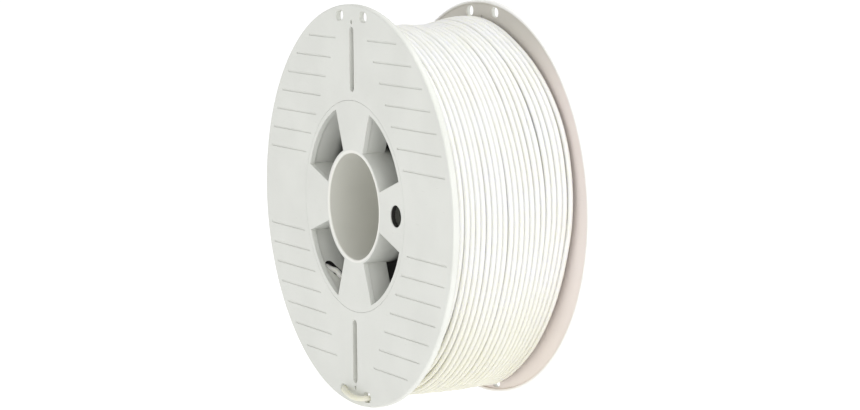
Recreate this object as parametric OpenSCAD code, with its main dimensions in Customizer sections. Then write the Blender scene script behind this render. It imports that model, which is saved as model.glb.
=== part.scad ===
// Filament spool lying with its axis along Y, the front flange at -Y and +Z up.
// The origin is the centre of the hub's bore, half way between the two outer faces.

/* [Spool] */
// Diameter over the flanges
spool_d = 200; // [150:1:250]
// Width over the two outer faces
spool_w = 77; // [50:1:100]
// Clearance between mouldings that plug into one another
fit_gap = 0.1; // [0.05:0.05:0.3]
// Clearance round the wound filament
winding_gap = 0.3; // [0.1:0.1:0.5]

/* [Flanges] */
// Thickness of a flange's plate
plate_t = 2.6; // [2:0.1:3.2]
// Thickness of a flange at its rim
rim_t = 3.4; // [3.3:0.1:5]
// Radial width of the rim
rim_w = 1.8; // [1.7:0.1:4]
// Rounding of the rim's edges
rim_round = 0.7; // [0.3:0.1:0.8]

/* [Gauge slots and rim holes] */
// Width of the slots that show how much filament is left
slot_w = 4.5; // [3:0.1:8]
// Gap from the hub's seam to the inner end of a slot
slot_in_gap = 4.2; // [2:0.1:8]
// Gap from the outer end of a slot to the rim
slot_out_gap = 11; // [10:0.5:20]
// Diameter of the pin hole beyond each slot
pin_hole_d = 2; // [1:0.1:2.4]
// Distance of the pin hole's centre from the rim
pin_hole_gap = 8.7; // [8.5:0.1:9]
// Length of the holes that hold the filament's loose end
tail_hole_l = 7.8; // [7:0.1:9]
// Width of those holes
tail_hole_w = 5.2; // [4.6:0.1:5.6]
// Half of the distance between the holes of a pair
tail_hole_x = 12.4; // [10:0.1:16]
// Distance of their centres from the rim
tail_hole_gap = 5; // [4.5:0.1:5.5]

/* [Ruled lines] */
// Spacing of the shallow lines across each flange
line_pitch = 10; // [5:1:20]
// Height of the first line above the axis
line_first_up = 23; // [18:1:40]
// Depth of the first line below the axis
line_first_down = 18; // [18:1:40]
// Width of a line
line_w = 0.8; // [0.4:0.1:1.5]
// Depth of a line
line_depth = 0.3; // [0.1:0.05:0.6]
// Gap from the outer end of a line to the rim
line_out_gap = 5; // [4:0.5:12]
// Height at which the slanted row of inner ends would meet the middle
line_apex = 112; // [95:1:150]
// Sideways step of an inner end for each unit of height
line_slope = 0.583; // [0.3:0.01:0.8]
// Nearest that a line comes to the middle of the flange
line_min_x = 17; // [8:1:30]
// Gap from the last line to the rim
line_last_gap = 16; // [10:1:30]

/* [Drum] */
// Outer diameter of the drum
drum_d = 108; // [90:1:130]
// Wall of the drum
drum_t = 2.8; // [2.4:0.1:3.2]
// Width of the slot for the filament's inner end
start_slot_w = 5; // [4.8:0.1:5.2]
// Length of that slot
start_slot_l = 10.5; // [9.5:0.5:12]
// Slant of that slot to a turn of the filament
start_slot_slant = 28; // [15:1:30]
// Place of that slot round the drum, from the top
start_slot_deg = 135; // [130:1:140]
// Place of that slot's middle, from the drum's front end
start_slot_depth = 4.4; // [4.4:0.1:8]

/* [Hubs] */
// Diameter of the bore
bore_d = 53; // [40:0.5:64]
// Wall of the tube round the bore
tube_t = 2.4; // [2:0.1:3]
// Rounding of the bore's mouth
mouth_round = 0.5; // [0.2:0.1:0.8]
// Ring of plate left outside the windows
window_rim = 1; // [0.8:0.1:3]
// Half angle of the upright spokes
spoke_up_deg = 20.6; // [14:0.1:28]
// Half angle of the level spokes
spoke_side_deg = 19.8; // [14:0.1:28]
// Thickness of the webs along the spokes
web_t = 2; // [1.5:0.1:3]
// Reach of the webs from the outer face
web_depth = 12.8; // [8:0.1:24]
// Width of the lip that clamps the flange
lip_w = 1.6; // [1.2:0.1:2.4]
// Thickness of that lip
lip_t = 1.3; // [0.8:0.1:1.4]
// Diameter of the drive hole
drive_d = 10.8; // [6:0.1:12]
// Distance of the drive hole from the axis
drive_r = 44.1; // [41:0.1:44.5]
// Overlap of the two tubes where one plugs into the other
socket_l = 6; // [3:0.5:10]
// Wall of that socket
socket_t = 1.2; // [0.8:0.1:1.4]

/* [Filament] */
// Diameter of the filament
strand_d = 2.85; // [1.5:0.05:3]
// Gap from the wound filament to the rim
winding_rim_gap = 9; // [8.5:0.5:30]

/* [Hidden] */
$fn = 144;
over = 1;

flange_r = spool_d / 2;
half_w = spool_w / 2;
drum_r = drum_d / 2;
drum_in_r = drum_r - drum_t;
seam_r = drum_in_r + lip_w;
window_r = drum_in_r - window_rim;
bore_r = bore_d / 2;
tube_r = bore_r + tube_t;
web_inset = 0.2;
strand_r = strand_d / 2;
winding_r = flange_r - winding_rim_gap;
line_out_r = flange_r - line_out_gap;
front_y = -half_w;
inner_y = front_y + plate_t;

natural = [0.86, 0.87, 0.85];
white = [0.97, 0.97, 0.95];

// A piece is drawn with its axis upright and its outer face at the top, then laid over.
module face_front() {
    rotate([90, 0, 0])
        children();
}

// The rear pieces are the front ones turned half round the Z axis.
module face_rear() {
    rotate([0, 0, 180])
        face_front()
            children();
}

// Rectangle with round corners, from two crossed bars and four discs.
module rounded_bar(x0, x1, z0, z1, r) {
    translate([x0 + r, z0])
        square([x1 - x0 - 2 * r, z1 - z0]);
    translate([x0, z0 + r])
        square([x1 - x0, z1 - z0 - 2 * r]);
    for (x = [x0 + r, x1 - r], z = [z0 + r, z1 - r])
        translate([x, z])
            circle(r);
}

// Ring of square section between two radii and two heights.
module ring(r0, r1, z0, z1) {
    rotate_extrude()
        translate([r0, z0])
            square([r1 - r0, z1 - z0]);
}

// Part of a ring, from one angle to another.
module sector(r0, r1, z0, z1, from, to) {
    rotate([0, 0, from])
        rotate_extrude(angle = to - from)
            translate([r0, z0])
                square([r1 - r0, z1 - z0]);
}

// Slot with round ends along X, cut through a plate whose outer face is at height half_w.
module slot_cut(length, width) {
    depth = plate_t + 2 * over;
    for (x = [-1, 1] * (length - width) / 2)
        translate([x, 0, half_w - plate_t - over])
            cylinder(h = depth, d = width);
    translate([-(length - width) / 2, -width / 2, half_w - plate_t - over])
        cube([length - width, width, depth]);
}

// Slot with round ends along Y, cut along X.
module radial_slot(length, width, depth) {
    reach = (length - width) / 2;
    for (y = [-reach, reach])
        translate([0, y, 0])
            rotate([0, 90, 0])
                cylinder(h = depth, d = width);
    translate([0, -reach, -width / 2])
        cube([depth, 2 * reach, width]);
}

// One ruled line on each side of the middle, at a signed height.
module line_pair(height) {
    inner = max(line_min_x, (line_apex - abs(height)) * line_slope);
    outer = sqrt(line_out_r * line_out_r - height * height);
    if (outer > inner)
        for (side = [0, 1])
            mirror([side, 0, 0])
                translate([inner, height - line_w / 2, half_w - line_depth])
                    cube([outer - inner, line_w, line_depth + over]);
}

// All ruled lines above and below the axis.
module ruled_lines() {
    last = flange_r - line_last_gap;
    for (height = [line_first_up : line_pitch : last])
        line_pair(height);
    for (height = [line_first_down : line_pitch : last])
        line_pair(-height);
}

// Slot, pin hole and the pair of tail holes at one end of the upright diameter.
module gauge_cuts() {
    slot_from = seam_r + slot_in_gap;
    slot_to = flange_r - slot_out_gap;
    tail_deg = asin(tail_hole_x / (flange_r - tail_hole_gap));
    translate([0, (slot_from + slot_to) / 2, 0])
        rotate([0, 0, 90])
            slot_cut(slot_to - slot_from, slot_w);
    translate([0, flange_r - pin_hole_gap, half_w - plate_t - over])
        cylinder(h = plate_t + 2 * over, d = pin_hole_d);
    for (side = [-1, 1])
        rotate([0, 0, side * tail_deg])
            translate([0, flange_r - tail_hole_gap, 0])
                slot_cut(tail_hole_l, tail_hole_w);
}

// Flange: a plate with a rounded rim, a rebate for the hub's lip, slots, holes and lines.
module flange() {
    difference() {
        rotate_extrude() {
            translate([drum_in_r + fit_gap, half_w - plate_t])
                square([flange_r - rim_w / 2 - drum_in_r - fit_gap, plate_t]);
            rounded_bar(flange_r - rim_w, flange_r, half_w - rim_t, half_w, rim_round);
        }
        translate([0, 0, half_w - lip_t])
            cylinder(h = lip_t + over, r = seam_r);
        for (turn = [0, 180])
            rotate([0, 0, turn])
                gauge_cuts();
        ruled_lines();
    }
}

// Drum: the tube that carries the filament, with a slot for the filament's inner end.
module drum() {
    end = half_w - plate_t;
    difference() {
        ring(drum_in_r, drum_r, -end, end);
        rotate([0, 0, 90 + start_slot_deg])
            translate([drum_in_r - over, 0, end - start_slot_depth])
                rotate([-start_slot_slant, 0, 0])
                    radial_slot(start_slot_l, start_slot_w, drum_t + 2 * over);
    }
}

// The four window openings through the hub's plate. They start inside the tube's wall.
module windows(z0, z1) {
    inner_r = tube_r - tube_t / 4;
    for (turn = [0, 180])
        rotate([0, 0, turn]) {
            sector(inner_r, window_r, z0, z1, spoke_side_deg, 90 - spoke_up_deg);
            sector(inner_r, window_r, z0, z1, 90 + spoke_up_deg, 180 - spoke_side_deg);
        }
}

// A web under the spoke's edge at an angle, on the spoke's own side of that edge.
module web(angle, side) {
    from = bore_r + tube_t / 2;
    to = drum_in_r - web_inset;
    rotate([0, 0, angle])
        translate([from, side > 0 ? web_inset : -web_t - web_inset, half_w - web_depth])
            cube([to - from, web_t, web_depth - plate_t / 3]);
}

// Plate and webs of a hub, without its tube.
module hub_plate() {
    difference() {
        union() {
            ring(bore_r + tube_t / 2, seam_r - fit_gap, half_w - lip_t, half_w);
            ring(bore_r + tube_t / 2, drum_in_r - fit_gap, half_w - plate_t, half_w - lip_t);
        }
        windows(half_w - plate_t - over, half_w + over);
        translate([drive_r, 0, half_w - plate_t - over])
            cylinder(h = plate_t + 2 * over, d = drive_d);
    }
    for (turn = [0, 180]) {
        web(turn + spoke_side_deg, -1);
        web(turn - spoke_side_deg, 1);
        web(turn + 90 + spoke_up_deg, -1);
        web(turn + 90 - spoke_up_deg, 1);
    }
}

// Tube of a hub, from the outer face to the middle, with a rounded mouth.
module hub_tube() {
    rotate_extrude()
        difference() {
            translate([bore_r, 0])
                square([tube_t, half_w]);
            difference() {
                translate([bore_r - over, half_w - mouth_round])
                    square([mouth_round + over, mouth_round + over]);
                translate([bore_r + mouth_round, half_w - mouth_round])
                    circle(mouth_round);
            }
        }
}

// Front hub: its tube ends in a socket that reaches past the middle.
module socket_hub() {
    hub_plate();
    hub_tube();
    ring(tube_r - socket_t, tube_r, -socket_l, over);
}

// Rear hub: its tube ends in a spigot that fits the socket.
module spigot_hub() {
    hub_plate();
    difference() {
        hub_tube();
        ring(tube_r - socket_t - fit_gap, tube_r + over, -over, socket_l + fit_gap);
    }
}

// Round tube swept along points, with its ends closed.
function unit(v) = v / norm(v);
function along(path, i) =
    unit(path[min(i + 1, len(path) - 1)] - path[max(i - 1, 0)]);
function hoop(path, i, r, sides) =
    let (forward = along(path, i), right = unit(cross(forward, [0, 0, 1])), up = cross(right, forward))
    [for (k = [0 : sides - 1])
        path[i] + r * (cos(360 * k / sides) * right + sin(360 * k / sides) * up)];

module swept_tube(path, r, sides = 8) {
    last = len(path) - 1;
    points = [for (i = [0 : last]) each hoop(path, i, r, sides)];
    walls = [for (i = [0 : last - 1], k = [0 : sides - 1])
        let (a = i * sides + k, b = i * sides + (k + 1) % sides)
        [a, b, b + sides, a + sides]];
    first_cap = [for (k = [sides - 1 : -1 : 0]) k];
    last_cap = [for (k = [0 : sides - 1]) last * sides + k];
    polyhedron(points, concat(walls, [first_cap, last_cap]));
}

// Point at a distance from the axis, at an angle from the lowest point, at a place along Y.
function low_point(r, degrees, y) = [r * sin(degrees), y, -r * cos(degrees)];

// The loose end lies on the winding, comes out through one hole and goes back through the other.
tail_r = flange_r - tail_hole_gap;
tail_deg = asin(tail_hole_x / tail_r);
tail_rest_r = winding_r + winding_gap + strand_r;
tail_over_y = front_y - strand_r - 0.5;
tail_under_y = inner_y + strand_r + 0.5;
tail_route = [
    for (degrees = [38 : -4 : 18]) low_point(tail_rest_r, degrees, tail_under_y + 0.6),
    low_point(tail_rest_r + 0.8, 14, tail_under_y + 0.6),
    low_point(tail_r + 0.3, tail_deg + 2.3, tail_under_y),
    low_point(tail_r + 0.5, tail_deg + 0.5, inner_y),
    low_point(tail_r + 0.5, tail_deg - 0.5, front_y),
    low_point(tail_r + 0.5, tail_deg - 2.3, tail_over_y),
    low_point(tail_r + 0.4, 2.4, tail_over_y - 0.7),
    low_point(tail_r, 0, tail_over_y - 0.9),
    low_point(tail_r - 0.6, -2.4, tail_over_y - 0.7),
    low_point(tail_r - 0.8, -tail_deg + 2.3, tail_over_y),
    low_point(tail_r - 0.8, -tail_deg + 0.5, front_y),
    low_point(tail_r - 0.8, -tail_deg - 0.5, inner_y),
    low_point(tail_r - 0.8, -tail_deg - 2.3, tail_under_y),
    low_point(tail_r - 0.8, -tail_deg - 6, tail_under_y + 2.6),
];

// The inner end goes through the drum's slot on a slant and lies along the drum's inside.
start_y = inner_y + start_slot_depth - 1.5;
function around(r, degrees, y) = [r * sin(degrees), y, r * cos(degrees)];
start_route = [
    around(drum_r - 1.1, -start_slot_deg + 2.7, start_y - 0.2),
    around(drum_in_r - 0.6, -start_slot_deg, start_y + 0.2),
    around(drum_in_r - 1.8, -start_slot_deg - 3.5, start_y + 0.9),
    around(drum_in_r - 2, -start_slot_deg - 10, start_y + 1.9),
];

module front_flange() {
    color(natural)
        face_front()
            flange();
}

module rear_flange() {
    color(natural)
        face_rear()
            flange();
}

module winding_drum() {
    color(natural)
        face_front()
            drum();
}

module front_hub() {
    color(natural)
        face_front()
            socket_hub();
}

module rear_hub() {
    color(natural)
        face_rear()
            spigot_hub();
}

module filament_winding() {
    color(white)
        face_front()
            rotate_extrude()
                rounded_bar(drum_r + winding_gap, winding_r,
                            -half_w + plate_t + winding_gap, half_w - plate_t - winding_gap,
                            strand_r);
}

module filament_tail() {
    color(white)
        swept_tube(tail_route, strand_r);
}

module filament_start() {
    color(white)
        swept_tube(start_route, strand_r);
}

front_flange();
rear_flange();
winding_drum();
front_hub();
rear_hub();
filament_winding();
filament_tail();
filament_start();
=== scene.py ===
"""Looks of a full filament spool standing on its rims.

Two ruled disc flanges are clamped to a drum by hubs with windows. The strand is one continuous
line: it comes through the drum's slot, is wound in layers and ends in the flange's rim holes.
"""

import logging
import math
from dataclasses import dataclass, field
from enum import Enum
from typing import Any

import bpy
import numpy as np
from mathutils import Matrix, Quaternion, Vector


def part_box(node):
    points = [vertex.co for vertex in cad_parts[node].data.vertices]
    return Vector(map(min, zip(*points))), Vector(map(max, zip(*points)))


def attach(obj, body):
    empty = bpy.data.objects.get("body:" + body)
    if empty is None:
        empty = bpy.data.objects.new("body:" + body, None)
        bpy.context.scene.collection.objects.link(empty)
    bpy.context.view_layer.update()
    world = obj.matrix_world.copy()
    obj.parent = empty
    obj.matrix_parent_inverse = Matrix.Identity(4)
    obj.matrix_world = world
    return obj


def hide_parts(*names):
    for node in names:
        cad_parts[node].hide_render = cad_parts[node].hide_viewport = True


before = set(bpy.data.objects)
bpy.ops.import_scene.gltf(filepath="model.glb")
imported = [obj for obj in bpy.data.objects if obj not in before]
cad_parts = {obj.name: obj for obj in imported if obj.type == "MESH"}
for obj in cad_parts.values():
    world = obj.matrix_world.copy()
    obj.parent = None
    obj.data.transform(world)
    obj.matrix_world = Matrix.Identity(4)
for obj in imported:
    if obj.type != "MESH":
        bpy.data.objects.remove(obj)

logging.basicConfig(level=logging.INFO, format="%(levelname)s %(message)s")
log = logging.getLogger("spool")

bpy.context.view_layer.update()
ROOT = "root"
Array = np.ndarray


# ---------------------------------------------------------------- shader building


class Value:
    """One output of a shader node, on which Python's operators add Math nodes."""

    def __init__(self, graph: "Graph", socket: Any) -> None:
        """Wraps a node's output socket."""
        self.graph = graph
        self.socket = socket

    def _math(self, operation: str, *values: Any) -> "Value":
        """Adds a Math node.

        Args:
            operation: the node's operation.
            values: sockets or numbers for its inputs, in order.

        Returns:
            The node's result.
        """
        inputs = dict(enumerate(values))
        return self.graph.add("ShaderNodeMath", {"operation": operation}, inputs)

    def __add__(self, other: Any) -> "Value":
        """Sum."""
        return self._math("ADD", self, other)

    __radd__ = __add__

    def __sub__(self, other: Any) -> "Value":
        """Difference."""
        return self._math("SUBTRACT", self, other)

    def __rsub__(self, other: Any) -> "Value":
        """Difference, the other way round."""
        return self._math("SUBTRACT", other, self)

    def __mul__(self, other: Any) -> "Value":
        """Product."""
        return self._math("MULTIPLY", self, other)

    def __pow__(self, other: Any) -> "Value":
        """Power."""
        return self._math("POWER", self, other)

    def sine(self) -> "Value":
        """Sine of the value in radians."""
        return self._math("SINE", self)

    def step(self, low: float, high: float) -> "Value":
        """Smooth step from 0 at one level to 1 at another.

        Args:
            low: value that becomes 0.
            high: value that becomes 1.

        Returns:
            The stepped value.
        """
        settings = {"interpolation_type": "SMOOTHSTEP"}
        inputs = {"Value": self, "From Min": low, "From Max": high}
        return self.graph.add("ShaderNodeMapRange", settings, inputs)


class Graph:
    """Node tree of one material, with one method that adds any node."""

    def __init__(self, name: str) -> None:
        """Makes a material whose tree holds only its output and a Principled shader.

        Args:
            name: the material's name.
        """
        self.material = bpy.data.materials.new(name)
        self.material.use_nodes = True
        self.tree = self.material.node_tree
        self.tree.nodes.clear()
        self.output = self.tree.nodes.new("ShaderNodeOutputMaterial")
        self.shader = self.tree.nodes.new("ShaderNodeBsdfPrincipled")
        self.tree.links.new(self.shader.outputs["BSDF"], self.output.inputs["Surface"])

    def _feed(self, socket: Any, value: Any) -> None:
        """Links a wrapped output to a socket, or sets the socket to a constant.

        Args:
            socket: the input that is fed.
            value: a wrapped output, or a number or colour.
        """
        if isinstance(value, Value):
            self.tree.links.new(value.socket, socket)
        else:
            socket.default_value = value

    def add(self, kind: str, settings: dict[str, Any], inputs: dict[Any, Any],
            output: Any = 0) -> Value:
        """Adds a node.

        Args:
            kind: the node's type.
            settings: its attributes, set before its inputs.
            inputs: numbers, colours or wrapped outputs by socket name or place.
            output: name or place of the output that is returned.

        Returns:
            The wrapped output.
        """
        node = self.tree.nodes.new(kind)
        for name, value in settings.items():
            setattr(node, name, value)
        for key, value in inputs.items():
            self._feed(node.inputs[key], value)
        return Value(self, node.outputs[output])

    def coordinates(self, name: str = "Object") -> Value:
        """Texture coordinates of the piece itself."""
        return self.add("ShaderNodeTexCoord", {}, {}, name)

    def parts(self, vector: Value) -> tuple[Value, Value, Value]:
        """X, Y and Z of a vector, as three values."""
        node = self.add("ShaderNodeSeparateXYZ", {}, {0: vector}).socket.node
        return tuple(Value(self, node.outputs[axis]) for axis in "XYZ")

    def noise(self, where: Value, scale: float, detail: float = 2.0,
              rough: float = 0.5) -> Value:
        """Cloudy noise.

        Args:
            where: coordinates that it is read at.
            scale: clouds for each metre.
            detail: number of finer octaves.
            rough: strength of the finer octaves.

        Returns:
            Noise from 0 to 1.
        """
        inputs = {"Vector": where, "Scale": scale, "Detail": detail, "Roughness": rough}
        return self.add("ShaderNodeTexNoise", {}, inputs, 0)

    def stretch(self, where: Value, scale: tuple[float, float, float]) -> Value:
        """Coordinates stretched along the axes."""
        return self.add("ShaderNodeMapping", {}, {"Vector": where, "Scale": scale})

    def blend(self, factor: Value, a: Any, b: Any) -> Value:
        """Mixes two colours.

        Args:
            factor: 0 gives the first colour and 1 the second.
            a: the first colour, RGBA or a wrapped output.
            b: the second colour.

        Returns:
            The mixed colour.
        """
        settings = {"data_type": "RGBA", "clamp_factor": True}
        return self.add("ShaderNodeMix", settings, {0: factor, 6: a, 7: b}, 2)

    def bump(self, height: Value, depth: float, normal: Value | None = None) -> Value:
        """Normal that a height field gives.

        Args:
            height: heights from 0 to 1.
            depth: metres that a height of 1 stands for.
            normal: normal that the bump adds to.

        Returns:
            The bumped normal.
        """
        inputs = {"Height": height, "Strength": 1.0, "Distance": depth}
        if normal is not None:
            inputs["Normal"] = normal
        return self.add("ShaderNodeBump", {}, inputs)

    def finish(self, **inputs: Any) -> bpy.types.Material:
        """Feeds the Principled shader.

        Args:
            inputs: values by socket name, with an underscore for each space.

        Returns:
            The finished material.
        """
        for name, value in inputs.items():
            self._feed(self.shader.inputs[name.replace("_", " ")], value)
        return self.material


# ---------------------------------------------------------------- finishes


class Colour(Enum):
    """Linear colours of the object."""

    GREY = (0.725, 0.735, 0.690, 1.0)
    GREY_PALE = (0.770, 0.780, 0.735, 1.0)
    # Rose grey: a warmer tint than the front flange, painted paler as painted bounce light from
    # the white winding.
    ROSE_GREY_BOUNCE_LIT = (0.870, 0.790, 0.752, 1.0)
    ROSE_PALE_BOUNCE_LIT = (0.895, 0.815, 0.775, 1.0)
    # Dull grey: real scuffs, and painted shade in the bore and at the rear flange's top.
    DULL_SCUFF_AND_SHADE = (0.560, 0.550, 0.490, 1.0)
    # Painted highlight on the tube's mouth.
    MOUTH_HIGHLIGHT = (0.900, 0.895, 0.840, 1.0)
    # Painted highlight on the rear flange's rim.
    RIM_HIGHLIGHT = (0.960, 0.955, 0.935, 1.0)
    # Painted shade, near-black, for unlit hollows, holes and slots.
    CORE_SHADE = (0.030, 0.029, 0.026, 1.0)
    STRAND = (0.850, 0.853, 0.825, 1.0)
    STRAND_WARM = (0.832, 0.824, 0.755, 1.0)
    # Painted shade in the lower turns of the winding, darker and creamier.
    STRAND_LOW_SHADE = (0.745, 0.727, 0.610, 1.0)
    STRAND_SCUFF = (0.780, 0.780, 0.740, 1.0)
    FLOOR = (0.320, 0.320, 0.320, 1.0)
    FLOOR_SHADE = (0.300, 0.300, 0.302, 1.0)


@dataclass(frozen=True)
class MouldedPlastic:
    """Light injection-moulded plastic: fine spark texture, flow clouds and small scuffs.

    Painted shade darkens the hollow between the hubs' tube and the drum in the spool's middle
    and makes the bore duller than the faces; a painted highlight makes the bore's mouth pale.
    """

    name: str
    tone: Colour = Colour.GREY
    pale: Colour = Colour.GREY_PALE
    rough: float = 0.42
    edge_radius: float = 0.00035
    grain_scale: float = 2600.0
    grain_depth: float = 0.000012
    cloud_scale: float = 28.0
    scuff_scale: float = 160.0
    bore_r: float = 0.0265
    tube_r: float = 0.0289
    drum_r: float = 0.0520
    web_end_y: float = 0.0257
    mouth_y: float = 0.0376
    drive_x: float = 0.0441
    drive_r: float = 0.0054
    face_y: float = 0.0385
    wall_in_r: float = 0.0513
    wall_out_r: float = 0.0537
    wall_end_y: float = 0.0352
    top_shade_low: float = 0.050
    top_shade_high: float = 0.094
    rim_in_r: float = 0.0984
    rim_out_r: float = 0.0993
    scuff_share: float = 0.22
    bore_shade_share: float = 0.55
    mouth_highlight_share: float = 0.85
    plain_back_face: float = 0.0
    painted_top_shade: float = 0.0
    # Share of the painted highlight on the rim.
    rim: float = 0.0

    def ring_mask(self, radius: Value, deep: Value, inner: tuple[float, float],
                  outer: tuple[float, float], end: tuple[float, float]) -> Value:
        """Mask of the ring between two radii, round the spool's middle plane.

        Args:
            radius: distance from the axis.
            deep: distance from the middle plane.
            inner: radii between which the mask rises to 1.
            outer: radii between which it falls to 0.
            end: distances from the middle plane between which it falls to 0.

        Returns:
            The mask.
        """
        ring = radius.step(*inner) * (1.0 - radius.step(*outer))
        return ring * (1.0 - deep.step(*end))

    def colour(self, g: Graph, where: Value, clouds: Value, scuffed: Value) -> Value:
        """Lays the colours over each other.

        Args:
            g: the material's tree.
            where: coordinates of the piece.
            clouds: mask of the paler clouds.
            scuffed: mask of the scuffs.

        Returns:
            The colour.
        """
        x, y, z = g.parts(where)
        radius = (x * x + z * z) ** 0.5
        deep = (y * y) ** 0.5
        # Painted shade: the hollow between the tube and the drum, near-black towards the middle.
        core = self.ring_mask(radius, deep, (self.tube_r - 0.0006, self.tube_r - 0.0002),
                              (self.drum_r - 0.0004, self.drum_r + 0.0004),
                              (self.web_end_y - 0.006, self.web_end_y + 0.0004))
        # Painted shade: the drum's slot, near-black.
        slot = self.ring_mask(radius, deep, (self.wall_in_r, self.wall_in_r + 0.0002),
                              (self.wall_out_r, self.wall_out_r + 0.0002),
                              (self.wall_end_y, self.wall_end_y + 0.0004))
        # Painted shade: the bore's inner wall is painted duller.
        bore = 1.0 - radius.step(self.bore_r + 0.0002, self.bore_r + 0.0006)
        # Painted highlight: the tube's mouth is painted pale.
        mouth = 1.0 - radius.step(self.tube_r - 0.0011, self.tube_r - 0.0007)
        mouth = mouth * deep.step(self.mouth_y, self.mouth_y + 0.0006)
        # Painted shade: the drive hole, near-black.
        aside = (x * x) ** 0.5 - self.drive_x
        drive = ((aside * aside + z * z) ** 0.5).step(self.drive_r + 0.00008,
                                                      self.drive_r + 0.00022)
        drive = (1.0 - drive) * (1.0 - deep.step(self.face_y - 0.0006, self.face_y - 0.0003))
        # The back face keeps the plain grey, so the painted bounce light stays on the inner face.
        outside = y.step(self.face_y - 0.0022, self.face_y - 0.0014)
        layers = [
            (scuffed * self.scuff_share, Colour.DULL_SCUFF_AND_SHADE),
            # Painted shade in the bore; the scuffs above are real wear.
            (bore * self.bore_shade_share, Colour.DULL_SCUFF_AND_SHADE),
            # Painted highlight on the tube's mouth.
            (mouth * self.mouth_highlight_share, Colour.MOUTH_HIGHLIGHT),
            # Painted shade: darker towards the top.
            (z.step(self.top_shade_low, self.top_shade_high) * self.painted_top_shade, Colour.DULL_SCUFF_AND_SHADE),
            (outside * self.plain_back_face, Colour.GREY_PALE),
            # Painted highlight: the rim is painted near-white.
            (radius.step(self.rim_in_r, self.rim_out_r) * self.rim, Colour.RIM_HIGHLIGHT),
            # Painted shade, near-black: the hollow, the drive hole and the drum's slot.
            (core, Colour.CORE_SHADE),
            (drive, Colour.CORE_SHADE),
            (slot, Colour.CORE_SHADE),
        ]
        colour = g.blend(clouds, self.tone.value, self.pale.value)
        for mask, over in layers:
            colour = g.blend(mask, colour, over.value)
        return colour

    def make(self) -> bpy.types.Material:
        """Builds the material.

        Returns:
            The material.
        """
        g = Graph(self.name)
        where = g.coordinates()
        clouds = g.noise(where, self.cloud_scale, 3.0).step(0.3, 0.7)
        grain = g.noise(where, self.grain_scale, 2.0, 0.6)
        scuffs = g.noise(g.stretch(where, (1.0, 1.0, 6.0)), self.scuff_scale, 4.0, 0.7)
        scuffed = scuffs.step(0.62, 0.74)
        colour = self.colour(g, where, clouds, scuffed)
        roughness = self.rough + clouds * 0.05 + scuffed * 0.08 + (grain - 0.5) * 0.06
        rounded = g.add("ShaderNodeBevel", {"samples": 4}, {"Radius": self.edge_radius})
        normal = g.bump(grain + scuffs * 0.6, self.grain_depth, rounded)
        return g.finish(Base_Color=colour, Roughness=roughness, Normal=normal, IOR=1.5)


@dataclass(frozen=True)
class ExtrudedStrand:
    """White extruded filament: satin, faint draw lines, and cream painted shade on the lower
    turns.

    Painted shade darkens the wound strand in the small patch that shows through the drum's slot.
    """

    name: str
    rough: float = 0.36
    draw_lines: float = 9.0
    line_depth: float = 0.000010
    low_shade_full_z: float = -0.095
    low_shade_start_z: float = -0.010
    slot: tuple[float, float, float] = (-0.0388, -0.0315, -0.0388)
    patch_in: float = 0.0085
    patch_out: float = 0.0105
    shade: float = 0.0

    def make(self) -> bpy.types.Material:
        """Builds the material. The strand's own map has the way round in U and metres in V.

        Returns:
            The material.
        """
        g = Graph(self.name)
        around, along, _ = g.parts(g.coordinates("UV"))
        where = g.coordinates()
        slow = g.noise(where, 60.0, 2.0).step(0.35, 0.65)
        lines = ((around * (self.draw_lines * math.tau)).sine() + 1.0) * 0.5
        swell = ((along * 210.0).sine() + 1.0) * 0.5
        scuff = g.noise(where, 420.0, 3.0, 0.65).step(0.6, 0.75)
        place = g.parts(where)
        # Painted shade: the lower turns are painted darker and creamier.
        low = 1.0 - place[2].step(self.low_shade_full_z, self.low_shade_start_z)
        colour = g.blend(slow * 0.45, Colour.STRAND.value, Colour.STRAND_WARM.value)
        colour = g.blend(low * 0.9, colour, Colour.STRAND_LOW_SHADE.value)
        # Painted shade: the strand seen through the drum's slot is painted near-black.
        x, y, z = (value - at for value, at in zip(place, self.slot))
        away = (x * x + y * y + z * z) ** 0.5
        patch = 1.0 - away.step(self.patch_in, self.patch_out)
        colour = g.blend(patch * self.shade, colour, Colour.CORE_SHADE.value)
        colour = g.blend(scuff * 0.16, colour, Colour.STRAND_SCUFF.value)
        roughness = self.rough + slow * 0.06 + scuff * 0.12
        normal = g.bump(lines * 0.6 + swell * 0.4, self.line_depth)
        g.shader.inputs["Subsurface Radius"].default_value = (0.0024, 0.0024, 0.0020)
        return g.finish(Base_Color=colour, Roughness=roughness, Normal=normal,
                        IOR=1.48, Subsurface_Weight=0.8, Subsurface_Scale=1.0)


@dataclass(frozen=True)
class PaleFloor:
    """Pale matt floor of the studio."""

    name: str = "pale_floor"
    glow: float = 0.88

    def make(self) -> bpy.types.Material:
        """Builds the material.

        Returns:
            The material.
        """
        g = Graph(self.name)
        clouds = g.noise(g.coordinates(), 3.0, 2.0)
        colour = g.blend(clouds, Colour.FLOOR.value, Colour.FLOOR_SHADE.value)
        return g.finish(Base_Color=colour, Roughness=0.9, Emission_Color=(1.0, 1.0, 1.0, 1.0),
                        Emission_Strength=self.glow)


# ---------------------------------------------------------------- mesh building


def smoothstep(low: float, high: float, x: Array) -> Array:
    """Smooth step of an array, 0 at low and 1 at high."""
    t = np.clip((x - low) / (high - low), 0.0, 1.0)
    return t * t * (3.0 - 2.0 * t)


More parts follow.
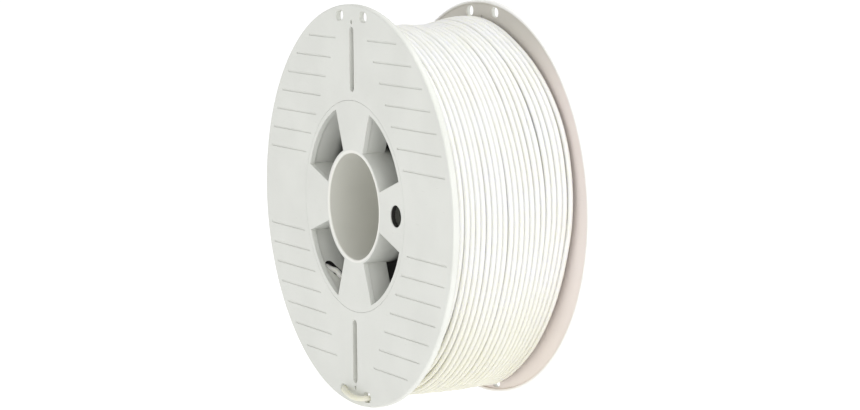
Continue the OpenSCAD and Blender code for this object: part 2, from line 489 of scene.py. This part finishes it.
def mesh_object(name: str, points: Array, quads: Array, caps: Array, uv: Array,
                material: bpy.types.Material) -> bpy.types.Object:
    """Puts arrays of points, four-sided faces and end caps into a smooth-shaded object.

    Args:
        name: the object's name.
        points: vertex positions, one row each.
        quads: four vertex numbers in each row.
        caps: vertex numbers of each end cap, one row each.
        uv: map positions for each corner of the quads, then of the caps.
        material: the finish.

    Returns:
        The object, linked to the scene.
    """
    mesh = bpy.data.meshes.new(name)
    loops = np.concatenate([quads.ravel(), caps.ravel()]).astype(np.int32)
    sizes = np.concatenate([np.full(len(quads), 4), np.full(len(caps), caps.shape[1])])
    starts = np.concatenate([[0], np.cumsum(sizes)[:-1]])
    mesh.vertices.add(len(points))
    mesh.vertices.foreach_set("co", points.astype(np.float32).ravel())
    mesh.loops.add(len(loops))
    mesh.loops.foreach_set("vertex_index", loops)
    mesh.polygons.add(len(sizes))
    mesh.polygons.foreach_set("loop_start", starts.astype(np.int32))
    smooth = np.concatenate([np.ones(len(quads), bool), np.zeros(len(caps), bool)])
    mesh.polygons.foreach_set("use_smooth", smooth)
    layer = mesh.uv_layers.new(name="strand")
    layer.data.foreach_set("uv", uv.astype(np.float32).ravel())
    mesh.materials.append(material)
    mesh.update(calc_edges=True)
    mesh.validate()
    made = bpy.data.objects.new(name, mesh)
    bpy.context.scene.collection.objects.link(made)
    return made


def sweep(name: str, path: Array, radius: Array, sides: int,
          material: bpy.types.Material) -> bpy.types.Object:
    """Round tube along a path, closed at both ends.

    Each ring lies square to the path. One of its axes is the part of the direction away from
    the spool's axis that is square to the path, so that the rings never twist, and a ring's
    points are the path's point plus the radius times cos and sin of an even turn on the two
    axes.

    Args:
        name: the object's name.
        path: centre line, one row for each ring.
        radius: the tube's radius at each ring.
        sides: points in a ring.
        material: the finish.

    Returns:
        The tube.
    """
    forward = np.gradient(path, axis=0)
    forward /= np.linalg.norm(forward, axis=1, keepdims=True)
    out = path * np.array([1.0, 0.0, 1.0])
    out -= forward * np.sum(out * forward, axis=1, keepdims=True)
    out /= np.linalg.norm(out, axis=1, keepdims=True)
    side = np.cross(forward, out)
    turn = np.arange(sides) * math.tau / sides
    ring = np.cos(turn)[None, :, None] * out[:, None] + np.sin(turn)[None, :, None] * side[:, None]
    points = (path[:, None] + radius[:, None, None] * ring).reshape(-1, 3)
    rows, columns = np.meshgrid(np.arange(len(path) - 1), np.arange(sides), indexing="ij")
    after = (columns + 1) % sides
    quads = np.stack([rows * sides + columns, (rows + 1) * sides + columns,
                      (rows + 1) * sides + after, rows * sides + after], -1).reshape(-1, 4)
    quads = quads[:, ::-1]
    last = (len(path) - 1) * sides
    caps = np.stack([np.arange(sides), last + np.arange(sides)[::-1]])
    caps = caps[:, ::-1]
    length = np.concatenate([[0.0], np.cumsum(np.linalg.norm(np.diff(path, axis=0), axis=1))])
    u0, u1 = columns / sides, (columns + 1) / sides
    v0, v1 = length[rows], length[rows + 1]
    uv = np.stack([np.stack([u0, v0], -1), np.stack([u0, v1], -1),
                   np.stack([u1, v1], -1), np.stack([u1, v0], -1)], 2).reshape(-1, 4, 2)
    cap_uv = np.zeros((2 * sides, 2))
    uv = np.concatenate([uv[:, ::-1].reshape(-1, 2), cap_uv])
    return mesh_object(name, points, quads, caps, uv, material)


def rounded_path(points: Array, rings: int) -> Array:
    """Smooth line through points.

    Between two points the line is a cubic whose slope at each point is half of the step from
    the point before it to the point after it.

    Args:
        points: the points, one row each.
        rings: steps between two points.

    Returns:
        The line, with rings steps in each stretch.
    """
    slopes = np.gradient(points, axis=0)
    t = (np.arange(rings) / rings)[None, :, None]
    a, b = points[:-1, None], points[1:, None]
    slope_a, slope_b = slopes[:-1, None], slopes[1:, None]
    line = ((2 * t**3 - 3 * t**2 + 1) * a + (t**3 - 2 * t**2 + t) * slope_a
            + (3 * t**2 - 2 * t**3) * b + (t**3 - t**2) * slope_b)
    return np.concatenate([line.reshape(-1, 3), points[-1:]])


def around_axis(r: Array, turn: Array, y: Array) -> Array:
    """Points at a distance from the spool's axis, at an angle from the top towards +X."""
    return np.stack([r * np.sin(turn), y, r * np.cos(turn)], -1)


# ---------------------------------------------------------------- sub-assemblies


@dataclass
class Spool:
    """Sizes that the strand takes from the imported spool, in metres."""

    drum_r: float = field(init=False)
    flange_r: float = field(init=False)
    winding_r: float = field(init=False)
    front_y: float = field(init=False)
    inner_y: float = field(init=False)

    def __post_init__(self) -> None:
        """Reads the boxes of the drum, the flanges and the winding's stand-in."""
        self.drum_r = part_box("winding_drum")[1].x
        self.flange_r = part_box("front_flange")[1].x
        self.winding_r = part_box("filament_winding")[1].x
        self.front_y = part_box("front_flange")[0].y
        self.inner_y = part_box("winding_drum")[0].y

    def dress(self) -> None:
        """Gives the moulded pieces their finishes."""
        finishes = {
            "front_flange": MouldedPlastic("flange_plastic"),
            # Rear flange: painted bounce light on its inner face, painted shade at its top,
            # painted highlight on its rim.
            "rear_flange": MouldedPlastic("rear_flange_plastic", Colour.ROSE_GREY_BOUNCE_LIT,
                                          Colour.ROSE_PALE_BOUNCE_LIT, plain_back_face=1.0, painted_top_shade=0.75, rim=0.9),
            "front_hub": MouldedPlastic("hub_plastic", rough=0.45),
            "winding_drum": MouldedPlastic("drum_plastic", rough=0.5),
        }
        made = {node: finish.make() for node, finish in finishes.items()}
        made["rear_hub"] = made["front_hub"]
        for node, material in made.items():
            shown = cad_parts[node]
            shown.data.materials.clear()
            shown.data.materials.append(material)
            log.info("%s dressed in %s", node, material.name)


@dataclass
class Winding:
    """The strand's layers, from the drum outwards, laid to and fro between the flanges."""

    spool: Spool
    strand: float = 0.00285
    clearance: float = 0.0003
    layers: int = 12
    turns: int = 23
    rise: float = 0.00287
    start_turn: float = math.radians(-122.0)
    climb: float = 0.12
    sag: float = 0.0074
    wave: float = 0.0005
    ruffle: float = 0.00022
    bulge: float = 0.006
    seed: int = 20
    r: float = field(init=False)
    first_r: float = field(init=False)
    near_y: float = field(init=False)
    travel: float = field(init=False)

    def __post_init__(self) -> None:
        """Works out the first layer's radius and the travel between the flanges."""
        self.r = self.strand / 2
        self.first_r = self.spool.drum_r + self.r + self.clearance / 2
        self.near_y = self.spool.inner_y + self.r + self.clearance
        self.travel = -2 * self.near_y
        self.rng = np.random.default_rng(self.seed)

    def detail(self, layer: int) -> tuple[int, int]:
        """Fineness of a layer's mesh, which grows outwards.

        Args:
            layer: number of the layer.

        Returns:
            Rings in a turn, and points in a ring.
        """
        if layer >= self.layers - 2:
            return 144, 12
        if layer >= self.layers - 4:
            return 96, 10
        return 64, 8

    def from_outside(self, layer: int, values: tuple[float, ...]) -> float:
        """A layer's value in a list that starts at the outermost layer, or 0 past its end."""
        place = self.layers - 1 - layer
        return values[place] if place < len(values) else 0.0

    def wander(self, count: int, rings: int, knots: float) -> Array:
        """Slow noise along the strand.

        Random levels are placed evenly, joined by straight lines and smoothed with a bell
        curve as wide as their spacing.

        Args:
            count: samples along the strand.
            rings: samples in a turn.
            knots: random levels in a turn.

        Returns:
            Noise with a spread of about 1.
        """
        levels = self.rng.normal(size=int(count / rings * knots) + 4)
        noise = np.interp(np.arange(count) * knots / rings, np.arange(len(levels)), levels)
        bell = np.hanning(int(rings / knots) | 1)
        padded = np.pad(noise, len(bell) // 2, mode="edge")
        return np.convolve(padded, bell / bell.sum(), mode="valid")

    def offsets(self, layer: int, rings: int) -> Array:
        """Distances of a layer's rings from the flange where the layer starts.

        A turn lies one strand and a gap beyond the turn before it. The gaps are noise, cut off
        below so that turns mostly touch, and are scaled at each place round the spool so that
        they add up to the travel that is left over.

        Args:
            layer: number of the layer.
            rings: rings in a turn.

        Returns:
            Distances, one row for each turn.
        """
        turns = self.turns
        pitch = self.strand * 1.004
        part = np.arange(rings) / rings
        noise = self.wander((turns - 1) * rings, rings, 5.0)
        loose = 1.0 if layer >= self.layers - 3 else 0.35
        gaps = np.maximum(noise - 0.25 * loose, 0.0) + 0.10 / loose
        s = np.arange((turns - 1) * rings) / rings
        gaps *= smoothstep(0.0, 0.5, s) * smoothstep(0.0, 0.5, turns - 1 - s)
        gaps *= 1.0 + 0.85 * np.cos(math.tau * s - 1.0 - layer) * (2.0 * s / turns - 1.0)
        gaps = gaps.reshape(turns - 1, rings)
        bay = self.rear_bay(layer, self.start_turn + math.tau * part)
        slack = self.travel - turns * pitch - bay
        steps = pitch + gaps * slack / gaps.sum(axis=0)
        first = pitch * part + (bay if self.from_rear(layer) else 0.0)
        return first + np.concatenate([np.zeros((1, rings)), np.cumsum(steps, axis=0)])

    def from_rear(self, layer: int) -> bool:
        """Whether a layer is laid from the rear flange to the front one."""
        return layer % 2 == 1

    def rear_bay(self, layer: int, turn: Array) -> Array:
        """Room that a loose layer leaves at the rear flange, widest low on the +X side.

        The room falls off as a bell curve of the angle from its widest place, and it is none
        where the layer starts and ends.

        Args:
            layer: number of the layer.
            turn: angles from the top.

        Returns:
            Widths of the room.
        """
        reach = self.from_outside(layer, (0.0014, 0.0005))
        away = np.angle(np.exp(1j * (turn - math.radians(118.0))))
        back = np.angle(np.exp(1j * (turn - self.start_turn)))
        return reach * np.exp(-(away / 0.42) ** 2) * smoothstep(0.0, 0.6, np.abs(back))

    def edge_rise(self, turn: Array) -> Array:
        """Height of the loose coils that lean on the rear flange.

        A few heights round the spool are joined by straight lines, and the line is smoothed
        with a bell curve 24 degrees wide.

        Args:
            turn: angles from the top.

        Returns:
            Heights above the tight layer.
        """
        degrees = [-165, -150, -90, -40, -8, 10, 25, 42, 64, 91, 103, 132, 148, 163, 172]
        rise = [5.0, 2.4, 1.2, 2.4, 3.9, 1.9, 0.2, 1.0, 2.9, 1.2, -0.4, -0.6, 1.2, 5.0, 8.0]
        grid = np.arange(-180, 180)
        level = np.interp(grid, degrees, rise, period=360)
        bell = np.hanning(25)
        level = np.convolve(np.tile(level, 3), bell / bell.sum(), mode="same")[360:720]
        return np.interp(np.degrees(turn), grid, level, period=360) * 0.001

    def lift(self, layer: int, turn: Array, y: Array) -> Array:
        """How far the loose outer layers stand off the ones below.

        The layers hang low by the fourth power of a sine about the lowest point, rise beside
        the rear flange and swell in slow waves round the spool.

        Args:
            layer: number of the layer.
            turn: angles of the rings from the top.
            y: places of the rings along the axis.

        Returns:
            Heights above the tight layer.
        """
        share = self.from_outside(layer, (1.0, 0.66, 0.36, 0.15))
        depth = y - self.near_y
        at_rear = smoothstep(0.040, 0.064, depth)
        low = ((1.0 - np.cos(turn)) / 2) ** 4 * smoothstep(0.002, 0.018, depth)
        waves = 0.5 + 0.5 * np.sin(2 * turn + 0.9 + 46.0 * depth) * np.cos(3 * turn + 80.0 * depth)
        loose = self.sag * low * (1.0 - at_rear) + self.edge_rise(turn) * at_rear
        return share * (loose + self.wave * waves)

    def layer_path(self, layer: int) -> Array:
        """Centre line of one layer, without its last point.

        Args:
            layer: number of the layer.

        Returns:
            The centre line.
        """
        rings = self.detail(layer)[0]
        s = np.arange(self.turns * rings) / rings
        turn = self.start_turn + math.tau * s
        away = self.offsets(layer, rings).ravel()
        y = self.near_y + (self.travel - away if self.from_rear(layer) else away)
        below = max(layer - 1, 0)
        up = smoothstep(0.0, self.climb, s)
        tight = self.first_r + self.rise * (below + (layer - below) * up)
        ends = smoothstep(0.0, 0.5, s) * smoothstep(0.0, 0.5, self.turns - s)
        ruffle = np.maximum(self.wander(len(s), rings, 4.0), 0.0) * ends
        loose = self.from_outside(layer, (self.ruffle, self.ruffle))
        r = tight + self.lift(below, turn, y) * (1 - up) + self.lift(layer, turn, y) * up
        return around_axis(r + ruffle * loose, turn, y)

    def end_point(self, layer: int) -> Array:
        """Last point of a layer, which is the next one's first.

        Args:
            layer: number of the layer.

        Returns:
            The point, as one row.
        """
        y = np.array([self.near_y if self.from_rear(layer) else -self.near_y])
        turn = np.array([self.start_turn])
        r = self.first_r + self.rise * layer + self.lift(layer, turn, y)
        return around_axis(r, turn, y)

    def build(self) -> list[bpy.types.Object]:
        """Builds the layers, a few in each piece.

        Returns:
            The pieces, from the drum outwards.
        """
        material = ExtrudedStrand("filament_wound", shade=1.0).make()
        groups = [(0, 4), (4, 8), (8, 10), (10, 11), (11, self.layers)]
        pieces, length = [], 0.0
        for low, high in groups:
            lines = [self.layer_path(layer) for layer in range(low, high)]
            path = np.concatenate([*lines, self.end_point(high - 1)])
            length += np.linalg.norm(np.diff(path, axis=0), axis=1).sum()
            radius = self.r * (1.0 + self.bulge * np.sin(np.arange(len(path)) * 0.37))
            name = f"winding_layers_{low + 1}_to_{high}"
            pieces.append(sweep(name, path, radius, self.detail(low)[1], material))
            log.info("%s: %d rings", name, len(path))
        log.info("strand in the winding: %.1f m", length)
        return pieces


@dataclass
class StrandEnds:
    """The strand's inner end, in the drum's slot, and its loose end, in the rim holes."""

    spool: Spool
    winding: Winding
    hole_gap: float = 0.005
    hole_x: float = 0.0124
    slot_turn: float = math.radians(-135.0)
    slot_depth: float = 0.0029
    drum_wall: float = 0.0028
    lean: float = 0.0007
    climb: float = 0.12
    sides: int = 16

    def loose_end(self) -> Array:
        """Centre line of the loose end.

        From the last layer it goes round on top beside the front flange, drops off near the
        lowest point, comes out through one rim hole and goes back through the other.

        Returns:
            The centre line.
        """
        w, r = self.winding, self.winding.r
        hole_r = self.spool.flange_r - self.hole_gap
        out_r, back_r = hole_r + 0.0005, hole_r - 0.0008
        hole = math.degrees(math.asin(self.hole_x / hole_r))
        over_y = self.spool.front_y - r - 0.0005
        under_y = self.spool.inner_y + r + 0.0005
        rest_y = under_y + 0.0006
        rest_r = self.spool.winding_r + w.clearance + r
        top_layer = w.layers - 1
        turn = np.linspace(w.start_turn, math.radians(138.0), 40)
        part = (turn - turn[0]) / (turn[-1] - turn[0])
        y = w.near_y + self.lean * smoothstep(0.0, 0.3, part)
        y += (rest_y - w.near_y - self.lean) * smoothstep(0.6, 1.0, part)
        tight = w.first_r + w.rise * (top_layer + smoothstep(0.0, self.climb, part))
        riding = tight + w.lift(top_layer, turn, y)
        r_line = riding + (rest_r - riding) * smoothstep(0.55, 1.0, part)
        lying = around_axis(r_line, turn, y)
        route = [(rest_r, 38, rest_y), (rest_r, 28, rest_y), (rest_r, 18, rest_y),
                 (rest_r + 0.0008, 14, rest_y), (hole_r + 0.0003, hole + 2.3, under_y),
                 (out_r, hole + 0.5, self.spool.inner_y), (out_r, hole - 0.5, self.spool.front_y),
                 (out_r, hole - 2.3, over_y), (hole_r + 0.0004, 2.4, over_y - 0.0007),
                 (hole_r, 0, over_y - 0.0009), (hole_r - 0.0006, -2.4, over_y - 0.0007),
                 (back_r, -hole + 2.3, over_y), (back_r, -hole + 0.5, self.spool.front_y),
                 (back_r, -hole - 0.5, self.spool.inner_y), (back_r, -hole - 2.3, under_y),
                 (back_r, -hole - 6, under_y + 0.0026)]
        far, low, deep = np.array(route).T
        held = around_axis(far, math.pi - np.radians(low), deep)
        return rounded_path(np.concatenate([lying, held]), 6)

    def inner_end(self) -> Array:
        """Centre line of the inner end, from the drum's inside through its slot.

        Returns:
            The centre line.
        """
        w = self.winding
        y = self.spool.inner_y + self.slot_depth
        bore_r = self.spool.drum_r - self.drum_wall
        first = math.degrees(w.start_turn - self.slot_turn)
        route = [(bore_r - 0.0020, -10, y + 0.0024), (bore_r - 0.0015, -3.8, y + 0.0018),
                 (bore_r - 0.0003, -1.5, y + 0.0011), (bore_r + 0.0008, 0.5, y + 0.0001),
                 (self.spool.drum_r - 0.0011, 2.7, y - 0.0009),
                 (w.first_r - 0.0006, 5.4, w.near_y + 0.0001), (w.first_r, 9, w.near_y),
                 (w.first_r, first, w.near_y)]
        far, round_by, deep = np.array(route).T
        points = around_axis(far, self.slot_turn + np.radians(round_by), deep)
        return rounded_path(points, 8)

    def build(self) -> dict[str, bpy.types.Object]:
        """Builds both ends.

        Returns:
            The pieces by the node that each stands for.
        """
        material = ExtrudedStrand("filament_white").make()
        made = {}
        for node, name, path in [("filament_tail", "loose_end", self.loose_end()),
                                 ("filament_start", "inner_end", self.inner_end())]:
            radius = np.full(len(path), self.winding.r)
            made[node] = sweep(name, path, radius, self.sides, material)
            log.info("%s: %d rings", name, len(path))
        return made


# ---------------------------------------------------------------- studio


@dataclass
class Studio:
    """Pale floor, soft lights and the camera."""

    spool: Spool
    azimuth: float = 60.79
    elevation: float = 7.33
    roll: float = -0.46
    distance: float = 1.2330
    lens: float = 102.6
    target: tuple[float, float, float] = (0.0024, 0.0037, -0.0019)

    def camera(self) -> None:
        """Makes the camera, on a ray from the target at the two angles."""
        data = bpy.data.cameras.new("camera")
        data.lens = self.lens
        data.sensor_width = 36.0
        data.clip_start, data.clip_end = 0.01, 100.0
        made = bpy.data.objects.new("camera", data)
        bpy.context.scene.collection.objects.link(made)
        a, e = math.radians(self.azimuth), math.radians(self.elevation)
        back = Vector((math.sin(a) * math.cos(e), -math.cos(a) * math.cos(e), math.sin(e)))
        made.location = Vector(self.target) + back * self.distance
        made.rotation_mode = "QUATERNION"
        tilt = Quaternion((0.0, 0.0, 1.0), math.radians(self.roll))
        made.rotation_quaternion = (-back).to_track_quat("-Z", "Y") @ tilt
        bpy.context.scene.camera = made

    def light(self, name: str, place: tuple[float, float, float], size: float,
              power: float) -> None:
        """Makes a square soft light that faces the spool.

        Args:
            name: the light's name.
            place: where it stands, in metres.
            size: length of its side.
            power: watts.
        """
        data = bpy.data.lights.new(name, "AREA")
        data.shape, data.size, data.energy = "SQUARE", size, power
        made = bpy.data.objects.new(name, data)
        bpy.context.scene.collection.objects.link(made)
        made.location = place
        made.rotation_mode = "QUATERNION"
        made.rotation_quaternion = (-Vector(place)).to_track_quat("-Z", "Y")

    def floor(self) -> None:
        """Makes the floor, a wide round sheet that the rims stand on."""
        steps = 96
        turn = np.arange(steps) * math.tau / steps
        reach = np.array([0.0, 0.3, 1.0, 4.0, 16.0])
        low = -self.spool.flange_r
        ring = np.stack([np.sin(turn), np.cos(turn)], -1)
        flat = (reach[1:, None, None] * ring[None]).reshape(-1, 2)
        points = np.concatenate([[[0.0, 0.0]], flat])
        points = np.column_stack([points, np.full(len(points), low)])
        rows, columns = np.meshgrid(np.arange(len(reach) - 2), np.arange(steps), indexing="ij")
        after = (columns + 1) % steps
        quads = 1 + np.stack([rows * steps + columns, rows * steps + after,
                              (rows + 1) * steps + after, (rows + 1) * steps + columns], -1)
        first = 1 + np.arange(steps)
        hub = np.stack([np.zeros(steps, int), np.roll(first, -1), first], -1)
        mesh = bpy.data.meshes.new("floor")
        faces = [*map(tuple, quads.reshape(-1, 4)[:, ::-1].tolist()), *map(tuple, hub.tolist())]
        mesh.from_pydata(points.tolist(), [], faces)
        mesh.materials.append(PaleFloor().make())
        made = bpy.data.objects.new("floor", mesh)
        bpy.context.scene.collection.objects.link(made)

    def build(self) -> None:
        """Builds the whole studio."""
        self.camera()
        self.floor()
        self.light("key", (2.0, -0.2, 1.0), 1.6, 20.0)
        self.light("top", (0.3, 0.5, 2.3), 1.6, 22.0)
        self.light("fill", (0.6, -2.2, 0.5), 1.8, 5.0)
        world = bpy.data.worlds.new("studio")
        world.use_nodes = True
        sky = world.node_tree.nodes["Background"]
        sky.inputs["Color"].default_value = (1.0, 1.0, 1.0, 1.0)
        sky.inputs["Strength"].default_value = 0.52
        bpy.context.scene.world = world
        view = bpy.context.scene.view_settings
        view.view_transform = "Standard"
        log.info("studio built")


def main() -> None:
    """Builds the spool's looks in order and reports each piece."""
    spool = Spool()
    spool.dress()
    winding = Winding(spool)
    for piece in winding.build():
        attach(piece, ROOT)
        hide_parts("filament_winding")
        log.info("piece %s", piece.name)
    for node, piece in StrandEnds(spool, winding).build().items():
        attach(piece, ROOT)
        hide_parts(node)
        log.info("piece %s", piece.name)
    Studio(spool).build()


if __name__ == "__main__":
    main()
